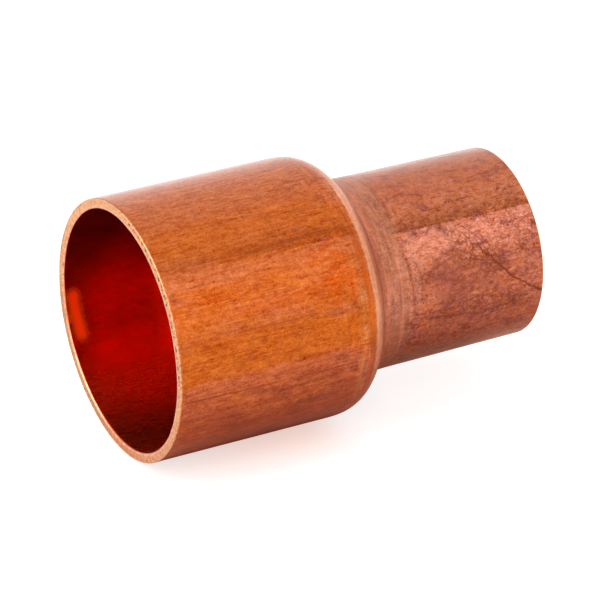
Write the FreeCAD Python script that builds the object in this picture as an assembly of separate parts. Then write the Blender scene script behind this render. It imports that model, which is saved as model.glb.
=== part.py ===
"""Concentric reducer for soldered copper tube, cup by cup, 3/4 in by 1/2 in nominal (7/8 in by 5/8 in tube outside diameter).

The fitting is one seamless wrought piece: a length of tube whose far half is swaged down to a smaller diameter about the same axis, and whose two ends are sized as sockets.
All dimensions are in millimetres. The X axis is the fitting's axis, with the origin at the centre of the large mouth and +X towards the small end. +Z is up as the fitting lies on its large barrel.
"""

import FreeCAD, Part
import math
import os

# Large barrel, which holds the large socket
LARGE_OUTER_R = 12.10
LARGE_SOCKET_R = 11.15
LARGE_BARREL_LENGTH = 17.58  # from the large mouth to where the shoulder starts

# Shoulder: a gentle onset, then the main convex bend, up to SHOULDER_TURN degrees from the axis
SHOULDER_ONSET_R = 12.00
SHOULDER_ONSET_TURN = 5.0
SHOULDER_CONVEX_R = 3.20
SHOULDER_TURN = 67.0

# Neck: a tight concave bend, whose radius follows from the other sizes, then a wide flare that the swaging die leaves
NECK_FLARE_R = 14.00
NECK_FLARE_TURN = 9.5
SMALL_OUTER_R_AT_NECK = 8.98

# Small barrel, which tapers slightly towards its mouth and holds the small socket
SMALL_OUTER_R_AT_END = 8.86
SMALL_SOCKET_R = 8.01
SMALL_SOCKET_DEPTH = 12.70
OVERALL_LENGTH = 38.90

# Throat: the thickened neck between the sockets, whose far edge is the small tube's stop
THROAT_R = 7.75
THROAT_ENTRY_R = 1.00  # rounding where the shoulder's inside runs into the throat
STOP_RAMP = 0.30  # axial length of the ramp from the throat up to the small socket

# Broken edges at the two cut ends
LARGE_EDGE_OUTER = 0.14
LARGE_EDGE_INNER = 0.10
SMALL_EDGE_OUTER = 0.16
SMALL_EDGE_INNER = 0.10

# Turn about the axis, in degrees, that keeps the revolved surfaces' seam off the line that the barrel lies on
SEAM_TURN = 360 / 112

V = FreeCAD.Vector


def line(a, b):
    return Part.LineSegment(V(a[0], a[1], 0), V(b[0], b[1], 0)).toShape()


def arc(centre, radius, a0, a1):
    """An arc in the XY plane, with its angles in degrees from +X, and the two points that it joins."""
    p = [
        (centre[0] + radius * math.cos(math.radians(a)), centre[1] + radius * math.sin(math.radians(a)))
        for a in (a0, (a0 + a1) / 2, a1)
    ]
    edge = Part.Arc(*[V(x, y, 0) for x, y in p]).toShape()
    return edge, p[0], p[2]


def outer_profile():
    """Edges of the outside, from the large end's rim to the small end's rim, with both end points, the main bend's centre and the point where the small barrel starts."""
    onset, turn, flare = (
        math.radians(a) for a in (SHOULDER_ONSET_TURN, SHOULDER_TURN, NECK_FLARE_TURN)
    )
    edges = []
    rim, start, at = arc(
        (LARGE_EDGE_OUTER, LARGE_OUTER_R - LARGE_EDGE_OUTER), LARGE_EDGE_OUTER, 180, 90
    )
    edges.append(rim)
    edges.append(line(at, (LARGE_BARREL_LENGTH, LARGE_OUTER_R)))
    bend, _, at = arc(
        (LARGE_BARREL_LENGTH, LARGE_OUTER_R - SHOULDER_ONSET_R),
        SHOULDER_ONSET_R,
        90,
        90 - SHOULDER_ONSET_TURN,
    )
    edges.append(bend)
    convex_centre = (
        at[0] - SHOULDER_CONVEX_R * math.sin(onset),
        at[1] - SHOULDER_CONVEX_R * math.cos(onset),
    )
    bend, _, at = arc(
        convex_centre, SHOULDER_CONVEX_R, 90 - SHOULDER_ONSET_TURN, 90 - SHOULDER_TURN
    )
    edges.append(bend)
    flare_drop = NECK_FLARE_R * (1 - math.cos(flare))
    concave_r = (at[1] - SMALL_OUTER_R_AT_NECK - flare_drop) / (
        math.cos(flare) - math.cos(turn)
    )
    if concave_r < 0.3:
        raise RuntimeError("the neck's bend is too tight")
    concave_centre = (
        at[0] + concave_r * math.sin(turn),
        at[1] + concave_r * math.cos(turn),
    )
    back, _, at = arc(
        concave_centre, concave_r, 270 - SHOULDER_TURN, 270 - NECK_FLARE_TURN
    )
    edges.append(back)
    flare_centre = (
        at[0] + NECK_FLARE_R * math.sin(flare),
        at[1] + NECK_FLARE_R * math.cos(flare),
    )
    out, _, neck = arc(flare_centre, NECK_FLARE_R, 270 - NECK_FLARE_TURN, 270)
    edges.append(out)
    rim, at, end = arc(
        (OVERALL_LENGTH - SMALL_EDGE_OUTER, SMALL_OUTER_R_AT_END - SMALL_EDGE_OUTER),
        SMALL_EDGE_OUTER,
        90,
        0,
    )
    edges.append(line(neck, at))
    edges.append(rim)
    return edges, start, end, convex_centre, neck


def inner_profile(convex_centre, neck):
    """Edges of the inside, from the small end's rim back to the large end's rim."""
    wall = LARGE_OUTER_R - LARGE_SOCKET_R  # the shoulder keeps the barrel's wall thickness
    inside_r = SHOULDER_CONVEX_R - wall
    onset_r = SHOULDER_ONSET_R - wall
    edges = []
    rim, start, at = arc(
        (OVERALL_LENGTH - SMALL_EDGE_INNER, SMALL_SOCKET_R + SMALL_EDGE_INNER),
        SMALL_EDGE_INNER,
        0,
        -90,
    )
    edges.append(rim)
    stop = OVERALL_LENGTH - SMALL_SOCKET_DEPTH
    edges.append(line(at, (stop, SMALL_SOCKET_R)))
    edges.append(line((stop, SMALL_SOCKET_R), (stop - STOP_RAMP, THROAT_R)))
    # The entry rounding is tangent to the throat's wall and to the shoulder's inside arc.
    height = THROAT_R + THROAT_ENTRY_R - convex_centre[1]
    span = inside_r + THROAT_ENTRY_R
    entry_centre = (
        convex_centre[0] + math.sqrt(span * span - height * height),
        THROAT_R + THROAT_ENTRY_R,
    )
    meet = math.degrees(math.atan2(height, entry_centre[0] - convex_centre[0]))
    edges.append(line((stop - STOP_RAMP, THROAT_R), (entry_centre[0], THROAT_R)))
    entry, _, at = arc(entry_centre, THROAT_ENTRY_R, 270, 180 + meet)
    edges.append(entry)
    bend, _, at = arc(convex_centre, inside_r, meet, 90 - SHOULDER_ONSET_TURN)
    edges.append(bend)
    bend, _, at = arc(
        (LARGE_BARREL_LENGTH, LARGE_OUTER_R - SHOULDER_ONSET_R),
        onset_r,
        90 - SHOULDER_ONSET_TURN,
        90,
    )
    edges.append(bend)
    rim, edge_at, end = arc(
        (LARGE_EDGE_INNER, LARGE_SOCKET_R + LARGE_EDGE_INNER), LARGE_EDGE_INNER, 270, 180
    )
    edges.append(line(at, edge_at))
    edges.append(rim)
    return edges, start, end


def reducer_body():
    outside, outside_start, outside_end, convex_centre, neck = outer_profile()
    inside, inside_start, inside_end = inner_profile(convex_centre, neck)
    edges = (
        outside
        + [line(outside_end, inside_start)]
        + inside
        + [line(inside_end, outside_start)]
    )
    wire = Part.Wire(edges)
    if not wire.isClosed():
        raise RuntimeError("the section isn't closed")
    solid = Part.Face(wire).revolve(V(0, 0, 0), V(1, 0, 0), 360)
    if solid.ShapeType != "Solid":
        solid = Part.makeSolid(solid)
    if solid.Volume < 0:
        solid.reverse()
    solid.rotate(V(0, 0, 0), V(1, 0, 0), SEAM_TURN)
    return solid


os.makedirs("parts", exist_ok=True)
for name, shape in {"reducer_body": reducer_body()}.items():
    shape.exportStep(f"parts/{name}.step")
    print(
        name,
        "valid" if shape.isValid() else "NOT VALID",
        f"volume {shape.Volume:.1f} mm3, centre of mass x {shape.CenterOfMass.x:.2f} mm, mass {shape.Volume * 8.94e-3:.1f} g",
    )
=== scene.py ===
"""The looks of the concentric reducer: one drawn copper tube, lathed in mesh code around the CAD frame, with its tarnish, its draw lines, its scratches and its cut rims."""
import math

import bpy
import numpy as np
from mathutils import Matrix, Vector


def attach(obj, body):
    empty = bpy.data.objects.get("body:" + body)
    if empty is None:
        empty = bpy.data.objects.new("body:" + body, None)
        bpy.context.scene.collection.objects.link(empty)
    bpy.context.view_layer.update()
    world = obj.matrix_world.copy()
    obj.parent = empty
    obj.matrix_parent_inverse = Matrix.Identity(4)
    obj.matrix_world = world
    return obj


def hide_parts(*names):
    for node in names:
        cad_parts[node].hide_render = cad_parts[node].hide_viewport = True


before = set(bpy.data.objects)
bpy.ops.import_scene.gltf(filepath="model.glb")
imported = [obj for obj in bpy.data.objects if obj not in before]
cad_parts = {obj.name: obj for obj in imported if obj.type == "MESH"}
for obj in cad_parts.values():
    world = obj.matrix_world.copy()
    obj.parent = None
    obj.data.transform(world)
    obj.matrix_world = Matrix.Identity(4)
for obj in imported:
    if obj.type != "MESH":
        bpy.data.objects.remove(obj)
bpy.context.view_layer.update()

scene = bpy.context.scene
scene.view_settings.view_transform = "Standard"
scene.view_settings.look = "None"

# ---------------------------------------------------------------- profile, in millimetres
LARGE_R, LARGE_BORE = 12.10, 11.15
BARREL_END = 17.58
ONSET_R, ONSET = 12.00, math.radians(5.0)
CONVEX_R, TURN = 3.20, math.radians(67.0)
NECK_R = 8.98
FLARE_R, FLARE = 14.00, math.radians(9.5)
SMALL_R, SMALL_BORE = 8.86, 8.01
THROAT_R, ENTRY_R, STOP_RAMP = 7.75, 1.00, 0.30
LENGTH, SOCKET_DEPTH = 38.90, 12.70
AROUND = 368


def span(a, b, n, skip_first=True):
    """n points from a to b, without the first one unless it is asked for."""
    t = np.linspace(0.0, 1.0, n + 1)[1:] if skip_first else np.linspace(0.0, 1.0, n)
    return [(a[0] + (b[0] - a[0]) * k, a[1] + (b[1] - a[1]) * k) for k in t]


def bend(centre, radius, a0, a1, n):
    """n points of an arc after its first point, with angles in radians from +X."""
    t = np.linspace(a0, a1, n + 1)[1:]
    return [(centre[0] + radius * math.cos(a), centre[1] + radius * math.sin(a)) for a in t]


def profile():
    """The closed section, as rings of (x, r, kind): outside, far rim, inside, near rim."""
    half = math.pi / 2
    rings = []

    def add(points, kind):
        rings.extend((x, r, kind) for x, r in points)

    # outside
    add(span((0.17, LARGE_R), (1.2, LARGE_R), 5, False), "outer")
    add(span((1.2, LARGE_R), (BARREL_END, LARGE_R), 38), "outer")
    add(bend((BARREL_END, LARGE_R - ONSET_R), ONSET_R, half, half - ONSET, 6), "outer")
    x, r, _ = rings[-1]
    convex = (x - CONVEX_R * math.sin(ONSET), r - CONVEX_R * math.cos(ONSET))
    add(bend(convex, CONVEX_R, half - ONSET, half - TURN, 22), "outer")
    x, r, _ = rings[-1]
    concave_r = (r - NECK_R - FLARE_R * (1 - math.cos(FLARE))) / (math.cos(FLARE) - math.cos(TURN))
    concave = (x + concave_r * math.sin(TURN), r + concave_r * math.cos(TURN))
    add(bend(concave, concave_r, 3 * half - TURN, 3 * half - FLARE, 12), "outer")
    x, r, _ = rings[-1]
    flare = (x + FLARE_R * math.sin(FLARE), r + FLARE_R * math.cos(FLARE))
    add(bend(flare, FLARE_R, 3 * half - FLARE, 3 * half, 12), "outer")
    x, r, _ = rings[-1]
    add(span((x, r), (LENGTH - 0.9, SMALL_R + 0.011), 28), "outer")
    add(span((LENGTH - 0.9, SMALL_R + 0.011), (LENGTH - 0.17, SMALL_R), 4), "outer")
    # far rim: a rolled outer edge, the cut face and the reamed inner edge
    add(bend((LENGTH - 0.17, SMALL_R - 0.17), 0.17, half, 0.12, 6), "rim")
    add(span((LENGTH - 0.004, SMALL_R - 0.20), (LENGTH - 0.004, SMALL_BORE + 0.24), 7), "rim")
    add(span((LENGTH - 0.01, SMALL_BORE + 0.21), (LENGTH - 0.17, SMALL_BORE + 0.035), 4, False), "rim")
    # inside
    add(span((LENGTH - 0.26, SMALL_BORE), (LENGTH - SOCKET_DEPTH, SMALL_BORE), 24, False), "inner")
    stop = LENGTH - SOCKET_DEPTH
    add(span((stop, SMALL_BORE), (stop - STOP_RAMP, THROAT_R), 5), "inner")
    inside_r = CONVEX_R - (LARGE_R - LARGE_BORE)
    height = THROAT_R + ENTRY_R - convex[1]
    reach = inside_r + ENTRY_R
    entry = (convex[0] + math.sqrt(reach * reach - height * height), THROAT_R + ENTRY_R)
    meet = math.atan2(height, entry[0] - convex[0])
    add(span((stop - STOP_RAMP, THROAT_R), (entry[0], THROAT_R), 7), "inner")
    add(bend(entry, ENTRY_R, 3 * half, math.pi + meet, 8), "inner")
    add(bend(convex, inside_r, meet, half - ONSET, 11), "inner")
    add(bend((BARREL_END, LARGE_R - ONSET_R), ONSET_R - (LARGE_R - LARGE_BORE), half - ONSET, half, 4), "inner")
    add(span((BARREL_END, LARGE_BORE), (0.19, LARGE_BORE), 34), "inner")
    # near rim: the reamed inner edge, the cut face, the pitted groove beside the outer edge and the ridge
    add(span((0.11, LARGE_BORE + 0.012), (0.016, LARGE_BORE + 0.105), 5, False), "rim")
    add(span((0.006, LARGE_BORE + 0.13), (0.006, LARGE_R - 0.34), 11, False), "rim")
    add([(0.010, LARGE_R - 0.31), (0.022, LARGE_R - 0.275), (0.030, LARGE_R - 0.235), (0.022, LARGE_R - 0.195), (0.008, LARGE_R - 0.165)], "rim")
    add([(0.004, LARGE_R - 0.135), (0.006, LARGE_R - 0.10), (0.022, LARGE_R - 0.062), (0.055, LARGE_R - 0.030), (0.10, LARGE_R - 0.010)], "rim")
    return rings


def wavy(phi, terms, rng):
    """A smooth periodic curve around the axis, of about unit height, from (cycles, weight) pairs."""
    out = np.zeros_like(phi)
    for cycles, weight in terms:
        out += weight * np.sin(cycles * phi + rng.uniform(0, 2 * math.pi))
    return out


def soft(x, a, b):
    """Smooth step from 0 at a to 1 at b."""
    t = np.clip((x - a) / (b - a), 0.0, 1.0)
    return t * t * (3 - 2 * t)


def build_reducer():
    rings = profile()
    count = len(rings)
    rng = np.random.default_rng(20)
    x0 = np.array([p[0] for p in rings])
    r0 = np.array([p[1] for p in rings])
    kind = np.array([{"outer": 0, "rim": 1, "inner": 2}[p[2]] for p in rings])
    dx = np.roll(x0, -1) - np.roll(x0, 1)
    dr = np.roll(r0, -1) - np.roll(r0, 1)
    size = np.hypot(dx, dr)
    nx, nr = -dr / size, dx / size  # outward normal of the section

    phi = np.arange(AROUND) * 2 * math.pi / AROUND  # from +Z towards -Y
    X, PHI = np.meshgrid(x0, phi, indexing="ij")
    R = np.repeat(r0[:, None], AROUND, axis=1)
    K = np.repeat(kind[:, None], AROUND, axis=1)
    push = np.zeros_like(X)

    # The barrels are a few hundredths out of round and their skin is faintly wavy.
    outer = (K == 0).astype(float)
    oval = 0.014 * np.sin(2 * PHI + 0.4) + 0.006 * np.sin(3 * PHI + 1.9)
    swell = np.zeros_like(X)
    for i in range(16):
        cycles = int(rng.integers(2, 15))
        length = rng.uniform(5.0, 22.0)
        swell += rng.uniform(0.4, 1.0) * np.sin(cycles * PHI + rng.uniform(0, 6.3)) * np.sin(2 * math.pi * X / length + rng.uniform(0, 6.3))
    push += outer * (oval + 0.0016 * swell)
    # Marks that the swaging die leaves around the neck.
    for at, depth, width in ((22.62, 0.006, 0.10), (22.95, -0.007, 0.10), (23.35, 0.004, 0.10), (23.75, -0.005, 0.12), (24.45, 0.008, 0.16), (24.95, -0.003, 0.2)):
        drift = 0.05 * np.sin(PHI + at) + 0.03 * np.sin(3 * PHI + 2 * at)
        push += outer * depth * np.exp(-(((X - at - drift) / width) ** 2)) * (0.75 + 0.25 * np.sin(2 * PHI + at * 3))
    # Shallow dings, each (x, degrees, radius, depth).
    for at, deg, radius, depth in (
        (3.1, 79.0, 0.55, -0.012), (6.6, 31.0, 0.8, -0.008), (14.1, 103.0, 0.9, -0.012), (11.2, 60.0, 1.1, -0.007),
        (15.7, 12.0, 0.7, -0.010), (30.6, 55.5, 0.6, -0.016), (26.4, 31.0, 0.5, -0.010), (35.1, 72.0, 0.7, -0.010),
        (29.3, 90.0, 0.9, -0.012), (37.2, 50.0, 0.8, -0.012), (33.1, 68.5, 0.5, -0.014), (8.2, -55.0, 0.9, -0.010),
        (13.2, -110.0, 1.0, -0.012), (4.6, -150.0, 0.8, -0.010), (28.6, -70.0, 0.8, -0.012), (34.6, -130.0, 1.0, -0.012),
        (18.9, 140.0, 0.8, -0.010), (10.6, 158.0, 0.9, -0.008),
    ):
        around = (PHI - math.radians(deg) + math.pi) % (2 * math.pi) - math.pi
        push += outer * depth * np.exp(-(((X - at) / radius) ** 2) - ((around * R / radius) ** 2))
    # The bores were sized on a plug: rounder than the outside, with a faint step left where the plug stopped.
    inner = (K == 2).astype(float)
    push += inner * (-0.003 * np.sin(2 * PHI + 1.0) + 0.0008 * swell)
    push += inner * -0.012 * np.exp(-(((X - 16.9) / 0.25) ** 2)) * (R > 11.0)

    X = X + nx[:, None] * push
    R = R + nr[:, None] * push

    # The cut isn't quite square: the far side of the mouth stands out a little, and the wall is thinner there.
    lean = np.clip(-np.sin(PHI), 0.0, 1.0) ** 2
    mouth = np.exp(-np.clip(X, 0.0, None) / 1.6)
    X = X - 0.20 * lean * mouth
    inward = (K == 2) | ((K == 1) & (R < LARGE_BORE + 0.3))
    R = R + 0.060 * lean * mouth * inward
    # A shallow flare inside the mouth, where the reamer ran out.
    around = (PHI - math.radians(-110.0) + math.pi) % (2 * math.pi) - math.pi
    R = R + 0.06 * np.exp(-((around / math.radians(15.0)) ** 2)) * np.exp(-((np.clip(X, 0.0, None) / 1.3) ** 2)) * inward

    # The near rim: a wheel cut and a reamer left an uneven ridge, a pitted groove and an inner edge that wanders.
    near = (K == 1) & (X < 1.0)
    across = (R - LARGE_BORE) / (LARGE_R - LARGE_BORE)  # 0 at the bore, 1 outside
    ridge = wavy(PHI, ((3, 0.5), (7, 0.4), (16, 0.3), (29, 0.22), (53, 0.16)), rng)
    lip = wavy(PHI, ((2, 0.6), (5, 0.4), (11, 0.35), (23, 0.25), (41, 0.2)), rng)
    chatter = wavy(PHI, ((61, 0.5), (83, 0.5), (37, 0.35), (97, 0.3)), rng)
    X = X + np.where(near, 0.010 * ridge * soft(across, 0.75, 0.95), 0.0)
    groove = np.exp(-(((across - 0.755) / 0.045) ** 2))
    X = X + np.where(near, groove * (0.014 + 0.022 * np.clip(chatter, 0, 1.5)), 0.0)
    shift = np.exp(-(((across - 0.20) / 0.14) ** 2))
    R = R + np.where(near, shift * 0.040 * lip, 0.0)
    X = X + np.where(near, 0.0035 * wavy(PHI, ((19, 0.5), (47, 0.5), (71, 0.4)), rng) * soft(across, 0.2, 0.4), 0.0)
    # A small kick where the cut started and ended.
    kick = np.exp(-(((PHI - math.radians(52.5)) / math.radians(2.2)) ** 2))
    R = R + 0.085 * kick * np.where((K == 0) | near, np.exp(-((X / 0.55) ** 2)) * soft(across, 0.55, 0.95), 0.0)
    # The far rim, cut the same way.
    far = (K == 1) & (X > 30.0)
    across = (R - SMALL_BORE) / (SMALL_R - SMALL_BORE)
    R = R + np.where(far, np.exp(-(((across - 0.2) / 0.15) ** 2)) * 0.035 * lip[:, ::-1], 0.0)
    X = X + np.where(far, -0.010 * np.clip(chatter[:, ::-1], 0, 2) * np.exp(-(((across - 0.72) / 0.06) ** 2)) - 0.006 * (1 + ridge[:, ::-1]) * soft(across, 0.8, 1.0), 0.0)

    Y, Z = -R * np.sin(PHI), R * np.cos(PHI)
    Z = np.maximum(Z, -LARGE_R)  # it rests on the floor
    points = np.stack([X, Y, Z], axis=-1).reshape(-1, 3) * 0.001

    i, j = np.meshgrid(np.arange(count), np.arange(AROUND), indexing="ij")
    i2, j2 = (i + 1) % count, (j + 1) % AROUND
    quads = np.stack([i * AROUND + j, i * AROUND + j2, i2 * AROUND + j2, i2 * AROUND + j], axis=-1).reshape(-1, 4)

    mesh = bpy.data.meshes.new("reducer")
    mesh.vertices.add(len(points))
    mesh.vertices.foreach_set("co", points.astype(np.float32).ravel())
    mesh.loops.add(quads.size)
    mesh.loops.foreach_set("vertex_index", quads.astype(np.int32).ravel())
    mesh.polygons.add(len(quads))
    mesh.polygons.foreach_set("loop_start", np.arange(0, quads.size, 4, dtype=np.int32))
    mesh.polygons.foreach_set("use_smooth", np.ones(len(quads), dtype=bool))
    slot = np.where(kind == 0, np.where(x0 < 21.75, 0, 1), np.where(kind == 1, 2, 3))  # barrel, tube, cut faces, bores
    mesh.polygons.foreach_set("material_index", np.repeat(slot, AROUND).astype(np.int32))
    mesh.update(calc_edges=True)
    mesh.validate()

    def attribute(name, values):
        layer = mesh.attributes.new(name, "FLOAT", "POINT")
        layer.data.foreach_set("value", values.astype(np.float32).ravel())

    across = np.where(X < 20, (R - LARGE_BORE) / (LARGE_R - LARGE_BORE), (R - SMALL_BORE) / (SMALL_R - SMALL_BORE))
    attribute("across", np.clip(across, -0.2, 1.2))
    ob = bpy.data.objects.new("reducer", mesh)
    scene.collection.objects.link(ob)
    # The faces have to point out of the metal.
    low = mesh.polygons[10]
    c = low.center
    radial = Vector((0.0, c.y, c.z)).normalized()
    if low.normal.dot(radial) < 0:
        mesh.flip_normals()
    return ob


# ---------------------------------------------------------------- node helpers
class Net:
    """A short way to write a node tree. Sockets and plain numbers both work as inputs."""

    def __init__(self, tree):
        self.tree = tree

    def node(self, kind, **settings):
        n = self.tree.nodes.new(kind)
        for k, v in settings.items():
            setattr(n, k, v)
        return n

    def put(self, socket, value):
        if isinstance(value, bpy.types.NodeSocket):
            self.tree.links.new(value, socket)
        elif value is not None:
            if hasattr(socket.default_value, "__len__") and not hasattr(value, "__len__"):
                value = [value] * len(socket.default_value)
            if hasattr(socket.default_value, "__len__") and len(socket.default_value) == 4 and len(value) == 3:
                value = (*value, 1.0)
            socket.default_value = value

    def math(self, op, a, b=None, c=None, clamp=False):
        n = self.node("ShaderNodeMath", operation=op, use_clamp=clamp)
        for s, v in zip(n.inputs, (a, b, c)):
            self.put(s, v)
        return n.outputs[0]

    def vec(self, op, a, b=None, scale=None, third=None):
        n = self.node("ShaderNodeVectorMath", operation=op)
        self.put(n.inputs[0], a)
        if b is not None:
            self.put(n.inputs[1], b)
        if third is not None:
            self.put(n.inputs[2], third)
        if scale is not None:
            self.put(n.inputs["Scale"], scale)
        return n.outputs["Value"] if op in ("DOT_PRODUCT", "DISTANCE", "LENGTH") else n.outputs[0]

    def xyz(self, x, y, z):
        n = self.node("ShaderNodeCombineXYZ")
        for s, v in zip(n.inputs, (x, y, z)):
            self.put(s, v)
        return n.outputs[0]

    def noise(self, vector, scale=1.0, detail=4.0, rough=0.55, distort=0.0, lac=2.0):
        n = self.node("ShaderNodeTexNoise")
        self.put(n.inputs["Vector"], vector)
        for k, v in (("Scale", scale), ("Detail", detail), ("Roughness", rough), ("Distortion", distort), ("Lacunarity", lac)):
            n.inputs[k].default_value = v
        return n.outputs["Fac"]

    def step(self, value, low, high, out0=0.0, out1=1.0):
        """Smooth step between low and high."""
        n = self.node("ShaderNodeMapRange", interpolation_type="SMOOTHSTEP")
        for k, v in (("Value", value), ("From Min", low), ("From Max", high), ("To Min", out0), ("To Max", out1)):
            self.put(n.inputs[k], v)
        return n.outputs[0]

    def mix(self, fac, a, b, mode="MIX"):
        n = self.node("ShaderNodeMix", data_type="RGBA", blend_type=mode, clamp_factor=True)
        self.put(n.inputs["Factor"], fac)
        self.put([s for s in n.inputs if s.name == "A" and s.type == "RGBA"][0], a)
        self.put([s for s in n.inputs if s.name == "B" and s.type == "RGBA"][0], b)
        return [s for s in n.outputs if s.type == "RGBA"][0]

    def add(self, *values):
        out = values[0]
        for v in values[1:]:
            out = self.math("ADD", out, v)
        return out

    def mul(self, *values):
        out = values[0]
        for v in values[1:]:
            out = self.math("MULTIPLY", out, v)
        return out

    def biggest(self, *values):
        out = values[0]
        for v in values[1:]:
            out = self.math("MAXIMUM", out, v)
        return out

    def attribute(self, name):
        return self.node("ShaderNodeAttribute", attribute_name=name).outputs["Fac"]


def stroke_group():
    """A stroke from A to B on the unrolled skin, in mm, with a half width and a feather."""
    tree = bpy.data.node_groups.new("stroke", "ShaderNodeTree")
    for name, kind in (("Point", "NodeSocketVector"), ("A", "NodeSocketVector"), ("B", "NodeSocketVector"), ("Width", "NodeSocketFloat"), ("Feather", "NodeSocketFloat")):
        tree.interface.new_socket(name, in_out="INPUT", socket_type=kind)
    tree.interface.new_socket("Mask", in_out="OUTPUT", socket_type="NodeSocketFloat")
    net = Net(tree)
    given = net.node("NodeGroupInput").outputs
    out = net.node("NodeGroupOutput")
    pa = net.vec("SUBTRACT", given["Point"], given["A"])
    ba = net.vec("SUBTRACT", given["B"], given["A"])
    t = net.math("DIVIDE", net.vec("DOT_PRODUCT", pa, ba), net.vec("DOT_PRODUCT", ba, ba), clamp=True)
    away = net.vec("DISTANCE", pa, net.vec("SCALE", ba, scale=t))
    edge = net.math("ADD", given["Width"], given["Feather"])
    net.put(out.inputs["Mask"], net.step(away, edge, given["Width"]))
    return tree


STROKE = stroke_group()


def strokes(net, point, radius, items):
    """The strongest of several strokes. Each is (x0, deg0, x1, deg1, half width, feather, strength)."""
    best = None
    for x0, d0, x1, d1, width, feather, strength in items:
        n = net.node("ShaderNodeGroup", node_tree=STROKE)
        net.put(n.inputs["Point"], point)
        n.inputs["A"].default_value = (x0, math.radians(d0) * radius, 0)
        n.inputs["B"].default_value = (x1, math.radians(d1) * radius, 0)
        n.inputs["Width"].default_value = width
        n.inputs["Feather"].default_value = feather
        mask = net.mul(n.outputs[0], strength)
        best = mask if best is None else net.math("MAXIMUM", best, mask)
    return best


# ---------------------------------------------------------------- copper
class Copper(Net):
    """A copper material's tree, with the coordinates that all of them use."""

    def __init__(self, name):
        self.mat = bpy.data.materials.new(name)
        self.mat.use_nodes = True
        self.mat.node_tree.nodes.clear()
        super().__init__(self.mat.node_tree)
        out = self.node("ShaderNodeOutputMaterial")
        self.bsdf = self.node("ShaderNodeBsdfPrincipled")
        self.tree.links.new(self.bsdf.outputs[0], out.inputs["Surface"])
        self.bsdf.inputs["Metallic"].default_value = 1.0
        place = self.node("ShaderNodeTexCoord").outputs["Object"]
        self.mm = self.vec("SCALE", place, scale=1000.0)
        sep = self.node("ShaderNodeSeparateXYZ")
        self.put(sep.inputs[0], self.mm)
        self.x, y, z = sep.outputs
        self.radius = self.math("SQRT", self.add(self.mul(y, y), self.mul(z, z)))
        self.angle = self.math("ARCTAN2", self.mul(y, -1.0), z)  # radians from +Z towards -Y
        self.deg = self.mul(self.angle, 180.0 / math.pi)

    def stretched(self, sx, sy=1.0, shift=(0.0, 0.0, 0.0)):
        return self.vec("MULTIPLY_ADD", self.mm, (sx, sy, sy), third=shift)

    def centred(self, value, gain=1.0):
        return self.mul(self.math("SUBTRACT", value, 0.5), gain)

    def window(self, value, a, b, c, d):
        """Rises from a to b and falls from c to d."""
        return self.mul(self.step(value, a, b), self.step(value, d, c))

    def finish(self, colour, rough, height, distance):
        self.put(self.bsdf.inputs["Base Color"], colour)
        self.put(self.bsdf.inputs["Roughness"], self.math("MAXIMUM", rough, 0.12))
        bump = self.node("ShaderNodeBump")
        bump.inputs["Strength"].default_value = 1.0
        bump.inputs["Distance"].default_value = distance
        self.put(bump.inputs["Height"], height)
        self.put(self.bsdf.inputs["Normal"], bump.outputs[0])
        return self.mat


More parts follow.
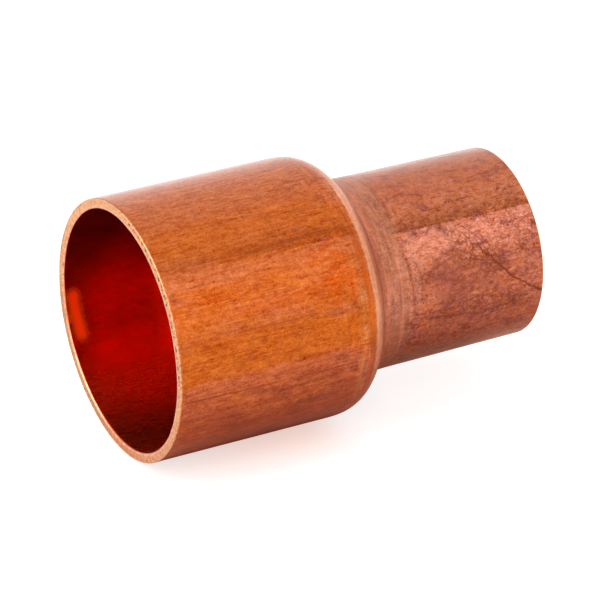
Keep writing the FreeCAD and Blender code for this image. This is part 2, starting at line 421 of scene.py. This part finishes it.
def skin_material(large):
    """The outside: the large barrel with its shoulder, or the small barrel with its neck."""
    net = Copper("drawn_copper_barrel" if large else "drawn_copper_tube")
    mm, x, radius, angle, deg = net.mm, net.x, net.radius, net.angle, net.deg
    stretched, centred, window = net.stretched, net.centred, net.window

    # Noise at several scales. Lengths are in mm; the draw direction is X.
    grain = net.noise(stretched(0.48 if large else 0.80), scale=3.0 if large else 2.5, detail=6, rough=0.74)
    fleck = net.noise(stretched(0.80, 1.0, (3.0, 1.0, 8.0)), scale=6.5, detail=3, rough=0.65)
    hair = net.noise(stretched(0.045 if large else 0.12), scale=6.0, detail=4, rough=0.72)
    brush = net.noise(stretched(0.11 if large else 0.45, 1.0, (9.0, 4.0, 2.0)), scale=3.0, detail=5, rough=0.72)
    streak = net.noise(stretched(0.07), scale=1.25, detail=4, rough=0.6)
    cloud = net.noise(stretched(0.45), scale=0.36, detail=5, rough=0.62, distort=0.4)
    cloud2 = net.noise(stretched(0.50, 1.0, (31.0, 7.0, 3.0)), scale=0.55, detail=6, rough=0.66, distort=0.6)
    cloud3 = net.noise(stretched(0.60, 1.0, (5.0, 40.0, 9.0)), scale=0.95, detail=6, rough=0.70, distort=0.5)

    ragged = net.add(centred(net.noise(stretched(0.30), scale=0.9, detail=5, rough=0.65), 9.0), centred(grain, 7.0))
    band = net.add(deg, ragged)
    edge = net.add(deg, net.mul(ragged, 0.22))

    if large:
        # Large barrel: orange copper, pinker on top, golden and deeper red bands along it, with painted shade and a
        # painted pink reflection at the edge of the softbox highlight.
        c = net.mix(net.step(cloud, 0.38, 0.64), (0.462, 0.092, 0.0125), (0.470, 0.108, 0.030))
        c = net.mix(net.mul(net.step(streak, 0.50, 0.68), 0.60), c, (0.445, 0.068, 0.005))
        c = net.mix(net.mul(window(band, -80, -50, 14, 28), 0.75), c, (0.446, 0.116, 0.040))
        c = net.mix(net.mul(window(band, 20, 26, 36, 42), 0.55), c, (0.455, 0.100, 0.018))
        # A dark band just above the highlight's edge: painted shade.
        c = net.mix(net.mul(window(edge, 35, 41.0, 42.6, 44.0), net.add(0.06, net.mul(net.step(x, 5.0, 12.0), 0.36))), c, (0.260, 0.045, 0.008))
        # A pinker band just below that edge: painted reflection of the softbox.
        c = net.mix(net.mul(window(edge, 43, 45, 48, 53), 0.45), c, (0.450, 0.118, 0.044))
        c = net.mix(net.mul(window(band, 71, 77, 87, 95), 0.70), c, (0.450, 0.092, 0.009))
        c = net.mix(net.mul(window(band, 90, 94, 106, 116), 0.60), c, (0.520, 0.130, 0.058))
        c = net.mix(net.mul(net.step(band, 100, 108), net.step(band, 200, 150), 0.40), c, (0.420, 0.080, 0.022))
        lower = net.step(band, 88, 102)
        c = net.mix(net.mul(lower, net.step(cloud2, 0.47, 0.58), 0.38), c, (0.350, 0.066, 0.036))
        c = net.mix(net.mul(lower, net.step(cloud2, 0.50, 0.38), 0.70), c, (0.560, 0.132, 0.042))
        hot = strokes(net, net.xyz(x, net.mul(angle, radius), 0.0), LARGE_R, ((15.8, 50, 17.0, 68, 0.6, 1.7, 1.0), (3.4, 55.5, 4.6, 56, 0.2, 1.0, 0.7), (8.0, 63, 15.0, 66, 0.2, 1.2, 0.45)))
        c = net.mix(net.mul(hot, net.step(cloud3, 0.36, 0.60), 0.80), c, (0.455, 0.064, 0.003))

        c = net.mix(net.mul(net.step(cloud3, 0.53, 0.64), 0.46), c, (0.350, 0.066, 0.018))
        c = net.mix(net.mul(net.step(cloud3, 0.46, 0.35), 0.48), c, (0.530, 0.130, 0.024))
    else:
        # Small barrel: browner, with mauve bloom, rusty patches and a bright pink band that is a painted highlight,
        # with painted shade along its upper edge.
        c = net.mix(net.step(cloud2, 0.40, 0.62), (0.405, 0.118, 0.056), (0.382, 0.098, 0.040))
        # A dark band just above the highlight's edge: painted shade.
        c = net.mix(net.mul(window(edge, 37, 41.5, 43.2, 44.4), 0.70), c, (0.245, 0.054, 0.018))
        # The bright pink band, starting where the neck ends: a painted highlight of the softbox.
        c = net.mix(net.mul(window(edge, 43.4, 44.6, 58, 70), net.step(x, 24.6, 25.4), 0.85), c, (0.560, 0.184, 0.116))
        c = net.mix(net.mul(net.step(band, 60, 74), net.step(band, 230, 170), 0.75), c, (0.382, 0.104, 0.062))
        c = net.mix(net.mul(window(band, 8, 16, 28, 37), 0.6), c, (0.460, 0.130, 0.060))
        c = net.mix(net.mul(window(band, 108, 124, 165, 185), 0.7), c, (0.360, 0.125, 0.080))
        c = net.mix(net.mul(net.step(cloud3, 0.54, 0.62), net.step(deg, 0.0, 45.0, 0.35, 0.72)), c, (0.255, 0.060, 0.052))
        c = net.mix(net.mul(net.step(cloud3, 0.46, 0.37), net.step(deg, 0.0, 45.0, 0.35, 0.65)), c, (0.490, 0.122, 0.040))
        c = net.mix(net.mul(net.step(cloud2, 0.56, 0.66), 0.60), c, (0.190, 0.042, 0.020))
    # Both end in the same colour where they meet at the neck.
    if large:
        # A pale peach ring on the shoulder's steep face: a painted grazing highlight.
        c = net.mix(net.mul(net.step(net.add(x, centred(grain, 0.5)), 19.40, 19.80), 0.90), c, (0.640, 0.265, 0.140))
        c = net.mix(net.mul(net.step(x, 21.20, 21.45), 0.92), c, (0.460, 0.130, 0.064))
        neck = net.step(x, 19.4, 19.9)
    else:
        c = net.mix(net.mul(net.step(net.add(x, centred(cloud3, 1.2)), 25.2, 24.4), 0.72), c, (0.415, 0.150, 0.086))
        c = net.mix(net.mul(net.step(x, 22.75, 22.35), 0.92), c, (0.450, 0.130, 0.066))
        neck = net.step(x, 25.2, 24.2)
    mauve = net.mul(net.step(net.noise(stretched(0.35, 1.0, (5.0, 40.0, 9.0)), scale=0.42, detail=6, rough=0.68), 0.57, 0.66), net.math("MULTIPLY_ADD", neck, -0.40, 0.42))
    c = net.mix(mauve, c, (0.300, 0.078, 0.056))

    # Fine mottling: dark flecks are redder than light ones.
    tone = net.add(centred(grain, 1.05), centred(fleck, 0.75), centred(hair, 0.55), centred(brush, 0.60))
    # The tube's top is smoother than its front.
    busy = net.step(net.math("ABSOLUTE", deg), 8.0, 45.0)
    tone = net.mul(tone, 1.75 if large else net.math("MULTIPLY_ADD", busy, 1.2, 1.0), net.math("MULTIPLY_ADD", neck, -0.5, 1.0))
    hue = centred(net.noise(stretched(0.8, 1.0, (17.0, 2.0, 6.0)), scale=2.4, detail=4, rough=0.7), 0.8)
    c = net.vec("MULTIPLY", c, net.xyz(net.math("MULTIPLY_ADD", tone, 0.72, 1.0), net.add(net.math("MULTIPLY_ADD", tone, 1.25, 1.0), net.mul(hue, 0.7)), net.add(net.math("MULTIPLY_ADD", tone, 1.7, 1.0), net.mul(hue, 1.8))))
    worn = net.step(net.noise(stretched(0.22, 0.7), scale=0.6, detail=3), 0.42, 0.60)
    lines = net.mul(net.step(hair, 0.58, 0.70), worn, 0.32)
    dashes = net.mul(net.step(brush, 0.60, 0.72), net.add(0.12, net.mul(worn, 0.26)))
    c = net.mix(net.biggest(lines, dashes), c, (0.195, 0.036, 0.008))
    # Light pinkish specks: painted glints.
    glint_specks = net.step(net.noise(stretched(0.9, 1.0, (2.0, 60.0, 5.0)), scale=4.2, detail=2, rough=0.6), 0.645, 0.72)
    c = net.mix(net.mul(glint_specks, 0.26 if large else 0.40), c, (0.58, 0.220, 0.100))
    pocks = net.step(net.noise(stretched(0.9, 1.0, (40.0, 6.0, 25.0)), scale=4.6, detail=2, rough=0.6), 0.655, 0.73)
    c = net.mix(net.mul(pocks, 0.22 if large else 0.50), c, (0.13, 0.026, 0.009))

    # Placed marks. The point wobbles so that no mark is a ruled line, and a gate breaks each one up.
    wobble = net.node("ShaderNodeTexNoise")
    net.put(wobble.inputs["Vector"], mm)
    wobble.inputs["Scale"].default_value = 1.5
    wobble.inputs["Detail"].default_value = 5.0
    wobble.inputs["Roughness"].default_value = 0.62
    shake = net.vec("SCALE", net.vec("SUBTRACT", wobble.outputs["Color"], (0.5, 0.5, 0.5)), scale=0.75)
    unrolled = net.xyz(x, net.mul(angle, radius), 0.0)
    flat = net.vec("ADD", unrolled, net.vec("MULTIPLY", shake, (1.0, 1.0, 0.0)))
    ruled = net.vec("ADD", unrolled, net.vec("MULTIPLY", shake, (0.3, 0.30, 0.0)))
    gate = net.math("MULTIPLY_ADD", net.step(net.noise(stretched(0.8, 1.6, (7.0, 7.0, 1.0)), scale=1.3, detail=4, rough=0.7), 0.34, 0.50), 0.50, 0.50)
    craze_point = net.vec("ADD", unrolled, net.vec("MULTIPLY", shake, (1.6, 1.6, 0.0)))

    def craze(scale, width):
        n = net.node("ShaderNodeTexVoronoi", feature="DISTANCE_TO_EDGE", voronoi_dimensions="2D")
        net.put(n.inputs["Vector"], craze_point)
        n.inputs["Scale"].default_value = scale
        return net.step(n.outputs["Distance"], width, 0.0)

    if large:
        long_marks = strokes(net, ruled, LARGE_R, (
            (0.8, 40.6, 8.2, 41.2, 0.00, 0.16, 0.55), (8.6, 41.2, 11.4, 40.6, 0.02, 0.26, 0.75), (11.8, 40.2, 18.0, 39.2, 0.02, 0.22, 0.75),
            (6.0, 72.6, 13.8, 72.9, 0.00, 0.10, 0.85), (0.4, 98.6, 9.4, 99.4, 0.01, 0.14, 0.85), (6.0, 101.6, 9.6, 102.4, 0.06, 0.30, 0.60),
            (11.6, 99.6, 17.6, 99.4, 0.00, 0.13, 0.85), (1.0, 114.5, 2.8, 114.5, 0.00, 0.13, 0.7), (12.2, 114.5, 14.0, 115.2, 0.06, 0.32, 0.6),
            (9.8, 104.5, 15.6, 103.0, 0.03, 0.40, 0.50), (12.5, 108.0, 13.6, 115.0, 0.05, 0.40, 0.50), (4.5, 60.0, 12.0, 60.8, 0.00, 0.10, 0.45),
            (7.5, 84.0, 11.0, 84.6, 0.00, 0.09, 0.40), (3.0, 23.0, 9.0, 23.6, 0.00, 0.12, 0.45), (10.0, 14.0, 15.0, 14.8, 0.00, 0.12, 0.45),
            (2.0, -62.0, 11.0, -61.2, 0.0, 0.12, 0.7), (6.0, -120.0, 16.0, -119.2, 0.0, 0.13, 0.7), (3.0, 170.0, 12.0, 170.8, 0.0, 0.12, 0.6),
        ))
        long_marks = net.mul(long_marks, gate)
        c = net.mix(net.mul(long_marks, 0.80), c, (0.225, 0.042, 0.014))
        cells = net.mul(craze(0.95, 0.06), gate, strokes(net, flat, LARGE_R, ((12.0, 102, 15.0, 112, 0.6, 1.6, 0.5),)))
        c = net.mix(net.mul(cells, 0.62), c, (0.165, 0.036, 0.020))
        marks = net.biggest(long_marks, net.mul(cells, 0.7))
        # The shoulder: a pale speckled strip where it starts to turn, a painted highlight, then clean orange metal.
        wave = net.add(x, net.mul(centred(net.noise(mm, scale=0.7, detail=4), 1.0), 0.7))
        painted_highlight_strip = net.mul(window(wave, 17.7, 18.25, 18.5, 19.05), window(deg, 58, 70, 118, 130), net.step(cloud3, 0.38, 0.58), net.math("MULTIPLY_ADD", net.step(fleck, 0.36, 0.60), 0.5, 0.5))
        c = net.mix(net.mul(painted_highlight_strip, 0.75), c, (0.58, 0.215, 0.075))
        clean = net.mul(window(wave, 18.8, 19.1, 19.5, 19.8), window(deg, 30, 50, 120, 140))
        c = net.mix(net.mul(clean, 0.60), c, (0.47, 0.080, 0.006))
    else:
        crack = strokes(net, flat, NECK_R, (
            (32.3, 60, 33.0, 66, 0.02, 0.13, 0.9), (33.0, 66, 33.5, 69, 0.05, 0.15, 1.0), (33.5, 69, 34.5, 77, 0.07, 0.15, 1.0), (34.5, 77, 35.0, 80, 0.05, 0.14, 1.0),
            (35.0, 80, 36.5, 88, 0.04, 0.13, 1.0), (36.5, 88, 38.8, 97, 0.03, 0.13, 1.0), (24.9, 50, 25.0, 72, 0.00, 0.20, 0.45), (31.3, 47, 32.7, 57, 0.00, 0.08, 0.7), (32.7, 57, 33.2, 66, 0.00, 0.08, 0.7),
            (28.8, 50, 30.2, 56, 0.00, 0.09, 0.7), (30.2, 56, 31.2, 57.5, 0.04, 0.14, 0.7), (25.4, 73, 27.5, 68, 0.01, 0.14, 0.6), (27.5, 68, 30.0, 63, 0.01, 0.16, 0.6),
            (34.0, 65, 35.2, 57, 0.00, 0.08, 0.6), (30.0, 39, 32.2, 43, 0.00, 0.11, 0.7), (31.9, 31, 33.6, 31, 0.01, 0.12, 0.7),
            (36.2, 62, 38.0, 63, 0.00, 0.10, 0.6), (27.0, 98, 31.5, 101, 0.01, 0.20, 0.6), (30.5, 66, 32.5, 69, 0.00, 0.09, 0.8), (32.5, 69, 33.4, 73, 0.00, 0.09, 0.8),
            (31.6, 62, 33.4, 60, 0.00, 0.08, 0.7), (30.0, 26.5, 30.9, 26.5, 0.0, 0.12, 0.6), (26.0, 33, 27.0, 33.2, 0.0, 0.12, 0.5), (33.8, 69.5, 36.8, 71.0, 0.0, 0.08, 0.5),
            (26.5, -60, 33.0, -52, 0.0, 0.10, 0.7), (30.0, -110, 37.0, -122, 0.0, 0.11, 0.7), (28.0, 150, 31.0, 158, 0.0, 0.12, 0.7),
        ))
        crack = net.mul(crack, gate)
        c = net.mix(net.mul(crack, 0.95), c, (0.150, 0.028, 0.012))
        # Crazed oxide, in patches.
        patches = net.biggest(
            strokes(net, flat, NECK_R, ((31.2, 60, 33.4, 70, 0.8, 1.6, 1.0), (29.0, 92, 35.5, 99, 0.5, 1.6, 0.8), (36.5, 48, 37.8, 54, 0.6, 1.2, 0.7))),
            net.mul(net.step(cloud3, 0.50, 0.62), 0.55),
        )
        cells = net.mul(net.biggest(craze(0.75, 0.085), net.mul(craze(1.7, 0.130), 0.8)), patches, gate)
        c = net.mix(net.mul(cells, 0.90), c, (0.150, 0.032, 0.018))
        marks = net.biggest(crack, net.mul(cells, 0.7))
        # Soft tarnish patches, and bright strokes, most of them beside the neck, that are painted highlights.
        tarnish = strokes(net, flat, NECK_R, ((27.0, 72, 29.5, 66, 0.5, 1.6, 0.8), (28.5, 76, 33.5, 80, 0.7, 1.9, 0.8), (28.4, 89, 28.8, 92, 0.1, 0.9, 0.6), (28.0, 99, 32.0, 99, 0.2, 1.1, 0.5), (30.4, -80, 33.0, -66, 0.7, 1.8, 0.8), (27.0, -140, 31.0, -128, 0.7, 1.8, 0.8)))
        c = net.mix(net.mul(tarnish, net.step(cloud3, 0.30, 0.56), 0.62), c, (0.215, 0.050, 0.030))
        glare = strokes(net, flat, NECK_R, ((25.5, 46, 25.6, 88, 0.08, 0.45, 1.0), (25.6, 52, 26.4, 64, 0.25, 1.1, 0.8), (27.5, 50, 31.0, 49, 0.2, 1.1, 0.6), (36.9, 108, 38.4, 121, 0.1, 0.5, 0.6)))
        c = net.mix(net.mul(glare, net.step(fleck, 0.34, 0.60), 0.65), c, (0.52, 0.205, 0.125))

    # Marks that run round the part, where the die turned the metal.
    round_marks = net.noise(stretched(3.4, 0.30), scale=1.0, detail=5, rough=0.66)
    near_die = net.mul(net.step(x, 15.0, 18.5), 0.9) if large else net.step(x, 26.6, 24.8)
    c = net.vec("SCALE", c, scale=net.math("MULTIPLY_ADD", net.mul(centred(round_marks, 1.5), near_die), 1.0, 1.0))
    rough = net.add(0.205, centred(grain, 0.22), centred(streak, 0.14), centred(cloud3, 0.12), net.mul(marks, 0.15), net.mul(neck, 0.16))
    # Relief: draw lines, mottle, rings round the neck and the marks.
    height = net.add(centred(hair, 0.9), centred(grain, 1.1), centred(fleck, 0.5))
    if not large:
        ring = net.noise(net.xyz(net.mul(x, 2.4), net.mul(net.math("COSINE", angle), 0.5), net.mul(net.math("SINE", angle), 0.5)), scale=1.0, detail=4, rough=0.65)
        height = net.add(height, net.mul(ring, net.step(x, 26.5, 24.6), 1.6))
    return net.finish(c, rough, height, 0.000009)


def cut_material():
    """The cut faces: bright metal, pinker at the reamed inner edge and along the bottom, with a dark pitted line near the outer edge."""
    net = Copper("cut_copper")
    mm, angle, deg = net.mm, net.angle, net.deg
    centred, window = net.centred, net.window
    across = net.attribute("across")
    chip = net.noise(mm, scale=3.4, detail=5, rough=0.74)
    saw = net.noise(net.xyz(net.mul(across, 2.2), net.mul(deg, 0.9), 0.0), scale=1.0, detail=4, rough=0.7)
    low = net.step(net.math("COSINE", net.math("SUBTRACT", angle, math.radians(125.0))), -0.1, 0.7)
    cut = net.mix(low, (0.63, 0.295, 0.128), (0.65, 0.300, 0.145))
    cut = net.mix(net.mul(net.step(across, 0.36, 0.20), 0.85), cut, (0.76, 0.350, 0.215))
    cut = net.mix(net.mul(net.step(across, 0.84, 0.90), window(deg, -40, 0, 26, 56), 0.5), cut, (0.72, 0.430, 0.220))
    cut = net.mix(net.mul(net.step(net.x, 0.035, 0.085), net.step(net.x, 10.0, 9.0)), cut, (0.46, 0.125, 0.040))
    hidden = net.step(net.math("COSINE", net.math("SUBTRACT", angle, math.radians(-128.0))), 0.72, 0.88)
    cut = net.mix(net.mul(hidden, net.step(across, 0.42, 0.52), 0.75), cut, (0.44, 0.215, 0.085))
    cut = net.mix(net.mul(hidden, window(across, 0.30, 0.36, 0.44, 0.50), net.step(chip, 0.36, 0.56), 0.75), cut, (0.15, 0.095, 0.030))
    cut = net.vec("SCALE", cut, scale=net.add(1.0, centred(chip, 2.4), centred(saw, 1.6)))
    nicks = net.noise(net.xyz(net.mul(deg, 0.55), net.mul(across, 1.5), 3.0), scale=1.0, detail=3, rough=0.6)
    # The pitted line drifts inwards on its way down.
    drift = net.add(across, net.step(deg, 30.0, 64.0, 0.0, 0.20), centred(nicks, 0.10))
    pits = net.mul(window(drift, 0.50, 0.60, 0.78, 0.88), net.step(nicks, 0.50, 0.56), window(deg, 6, 14, 88, 104))
    pits = net.biggest(pits, net.mul(window(drift, 0.70, 0.75, 0.79, 0.84), net.step(nicks, 0.60, 0.66), 0.35))
    cut = net.mix(net.mul(pits, 0.97), cut, (0.070, 0.030, 0.008))
    rough = net.add(0.36, centred(chip, 0.25))
    return net.finish(cut, rough, net.add(net.mul(pits, -1.8), centred(chip, 1.8)), 0.000009)


def bore_material():
    """The bores: clean, redder copper with faint axial streaks, speckled along the bottom, and one bright patch by the
    mouth that is a painted reflection.
    """
    net = Copper("bore_copper")
    mm, x, radius, angle = net.mm, net.x, net.radius, net.angle
    stretched, centred = net.stretched, net.centred
    grain = net.noise(stretched(0.36), scale=3.0, detail=6, rough=0.74)
    fleck = net.noise(stretched(0.70, 1.0, (3.0, 1.0, 8.0)), scale=4.5, detail=3, rough=0.65)
    hair = net.noise(stretched(0.045), scale=6.0, detail=4, rough=0.72)
    streak = net.noise(stretched(0.07), scale=1.25, detail=4, rough=0.6)
    cloud = net.noise(stretched(0.60, 1.0, (5.0, 40.0, 9.0)), scale=0.95, detail=6, rough=0.70, distort=0.5)
    inside = net.mix(net.step(streak, 0.42, 0.64), (0.77, 0.098, 0.012), (0.71, 0.076, 0.008))
    over = net.step(net.math("COSINE", net.math("SUBTRACT", angle, math.radians(-8.0))), 0.45, 0.90)
    inside = net.mix(net.mul(over, 0.8), inside, (0.92, 0.110, 0.013))
    inside = net.vec("SCALE", inside, scale=net.add(1.0, centred(grain, 0.30), centred(cloud, 0.60)))
    bottom = net.step(net.math("COSINE", net.math("SUBTRACT", angle, math.radians(190.0))), 0.70, 0.94)
    inside = net.mix(net.mul(bottom, net.step(fleck, 0.44, 0.62), 0.08), inside, (0.46, 0.140, 0.045))
    wobble = net.node("ShaderNodeTexNoise")
    net.put(wobble.inputs["Vector"], mm)
    wobble.inputs["Scale"].default_value = 1.0
    wobble.inputs["Detail"].default_value = 4.0
    shake = net.vec("SCALE", net.vec("SUBTRACT", wobble.outputs["Color"], (0.5, 0.5, 0.5)), scale=0.22)
    flat = net.vec("ADD", net.xyz(x, net.mul(angle, radius), 0.0), net.vec("MULTIPLY", shake, (1.0, 1.0, 0.0)))
    # A flame-shaped bright patch just inside the mouth: a painted reflection.
    flame_reflection = strokes(net, flat, LARGE_BORE, ((0.75, -98, 1.0, -117, 0.0, 1.5, 1.0),))
    flame_reflection = net.mul(flame_reflection, flame_reflection, net.step(cloud, 0.25, 0.60, 0.70, 1.0))
    inside = net.mix(flame_reflection, inside, (1.0, 0.048, 0.003))
    rough = net.add(0.185, centred(grain, 0.20), centred(streak, 0.12), net.mul(bottom, 0.10), net.mul(flame_reflection, 0.45))
    return net.finish(inside, rough, net.mul(net.add(centred(hair, 0.9), centred(grain, 1.0)), net.math("MULTIPLY_ADD", bottom, -0.7, 1.0)), 0.0000042)


reducer = build_reducer()
for material in (skin_material(True), skin_material(False), cut_material(), bore_material()):
    reducer.data.materials.append(material)
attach(reducer, "root")
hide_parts("reducer_body")

# ---------------------------------------------------------------- floor
bpy.ops.mesh.primitive_plane_add(size=6.0, location=(0.0, 0.0, -0.0121))
floor = bpy.context.object
floor.name = "floor"
paper = bpy.data.materials.new("white_paper")
paper.use_nodes = True
paper.node_tree.nodes.clear()
pn = Net(paper.node_tree)
pout = pn.node("ShaderNodeOutputMaterial")
# White paper that glows a little, as a lit table does, so that the part's shadow stays light. The metal sees it darker
# and warmer close by: a painted shadow with painted copper bounce.
seen = pn.node("ShaderNodeAddShader")
lit = pn.node("ShaderNodeBsdfDiffuse")
lit.inputs["Color"].default_value = (0.42, 0.41, 0.405, 1.0)
glow = pn.node("ShaderNodeEmission")
glow.inputs["Color"].default_value = (1.0, 0.985, 0.98, 1.0)
glow.inputs["Strength"].default_value = 0.72
pn.tree.links.new(lit.outputs[0], seen.inputs[0])
pn.tree.links.new(glow.outputs[0], seen.inputs[1])
ps = pn.node("ShaderNodeSeparateXYZ")
pn.put(ps.inputs[0], pn.vec("SCALE", pn.node("ShaderNodeTexCoord").outputs["Object"], scale=1000.0))
px, py, _ = ps.outputs
off = pn.math("ABSOLUTE", py)
along = pn.mul(pn.step(px, -1.5, 3.0), pn.step(px, 56.0, 40.0))
# Near the part, the paper that the metal sees is darker and copper-coloured: painted shadow and painted bounce.
painted_shade_and_bounce = pn.mix(pn.mul(pn.step(off, 34.0, 19.0), along), (0.84, 0.83, 0.82), (0.70, 0.64, 0.60))
painted_shade_and_bounce = pn.mix(pn.mul(pn.step(off, 15.0, 8.0), along), painted_shade_and_bounce, (0.66, 0.42, 0.31))
painted_shade_and_bounce = pn.mix(pn.mul(pn.step(off, 7.2, 4.6), along, pn.step(px, 23.0, 19.0)), painted_shade_and_bounce, (0.54, 0.165, 0.075))
# A pinker glow beside the barrel: painted bounce light from the copper.
painted_bounce = pn.mul(pn.step(off, 13.0, 4.5), pn.step(px, -4.0, 14.0), pn.step(px, 22.0, 15.5))
pn.put(glow.inputs["Color"], pn.mix(painted_bounce, (1.0, 0.985, 0.98), (1.0, 0.77, 0.69)))
# A little more glow under the lifted tube: painted light that pales its shadow there.
painted_light_under_tube = pn.mul(pn.step(off, 7.0, 2.0), pn.step(px, 22.0, 27.0), pn.step(px, 60.0, 40.0))
pn.put(glow.inputs["Strength"], pn.math("MULTIPLY_ADD", painted_light_under_tube, 0.05, 0.72))
shade = pn.node("ShaderNodeBsdfDiffuse")
pn.put(shade.inputs["Color"], painted_shade_and_bounce)
which = pn.node("ShaderNodeMixShader")
pn.put(which.inputs[0], pn.node("ShaderNodeLightPath").outputs["Is Camera Ray"])
pn.tree.links.new(shade.outputs[0], which.inputs[1])
pn.tree.links.new(seen.outputs[0], which.inputs[2])
pn.tree.links.new(which.outputs[0], pout.inputs["Surface"])
floor.data.materials.append(paper)

# ---------------------------------------------------------------- light: a white tent with a softbox on the camera's side
world = bpy.data.worlds.new("tent")
scene.world = world
world.use_nodes = True
world.node_tree.nodes.clear()
wn = Net(world.node_tree)
wout = wn.node("ShaderNodeOutputWorld")
back = wn.node("ShaderNodeBackground")
wn.tree.links.new(back.outputs[0], wout.inputs[0])
direction = wn.node("ShaderNodeTexCoord").outputs["Generated"]
ws = wn.node("ShaderNodeSeparateXYZ")
wn.put(ws.inputs[0], direction)
dx, dy, dz = ws.outputs
turn = wn.mul(wn.math("ARCTAN2", dz, dy), 180 / math.pi)  # 0 behind, 90 overhead, 180 in front
box = wn.mul(wn.step(turn, 115.0, 118.0), wn.step(turn, 170.0, 164.0), wn.step(dx, 0.505, 0.465), wn.step(dx, -0.62, -0.50))
gap = wn.mul(wn.step(turn, 100.0, 110.0), wn.step(turn, 117.5, 115.5))
rear = wn.mul(wn.step(turn, 60.0, 25.0), wn.step(turn, -60.0, 0.0))
side = wn.step(wn.vec("DOT_PRODUCT", direction, tuple(Vector((-0.80, 0.0, 0.60)).normalized())), 0.80, 0.95)
level = wn.add(1.32, wn.mul(box, 0.38), wn.mul(gap, -0.20), wn.mul(rear, -0.04), wn.mul(side, 2.2))
wn.put(back.inputs["Strength"], level)
back.inputs["Color"].default_value = (1, 1, 1, 1)

# ---------------------------------------------------------------- camera
eye = Vector((-0.13525286583, -0.28098168743, 0.1596196299))
forward = Vector((0.42851241, 0.78407511, -0.44900261)).normalized()
right = forward.cross(Vector((0, 0, 1))).normalized()
up = right.cross(forward)
camera = bpy.data.objects.new("camera", bpy.data.cameras.new("camera"))
scene.collection.objects.link(camera)
camera.matrix_world = Matrix.Translation(eye) @ Matrix((right, up, -forward)).transposed().to_4x4()
camera.data.sensor_width = 36.0
camera.data.lens = 235.9623
camera.data.clip_start = 0.01
camera.data.clip_end = 20.0
camera.data.dof.use_dof = False
scene.camera = camera
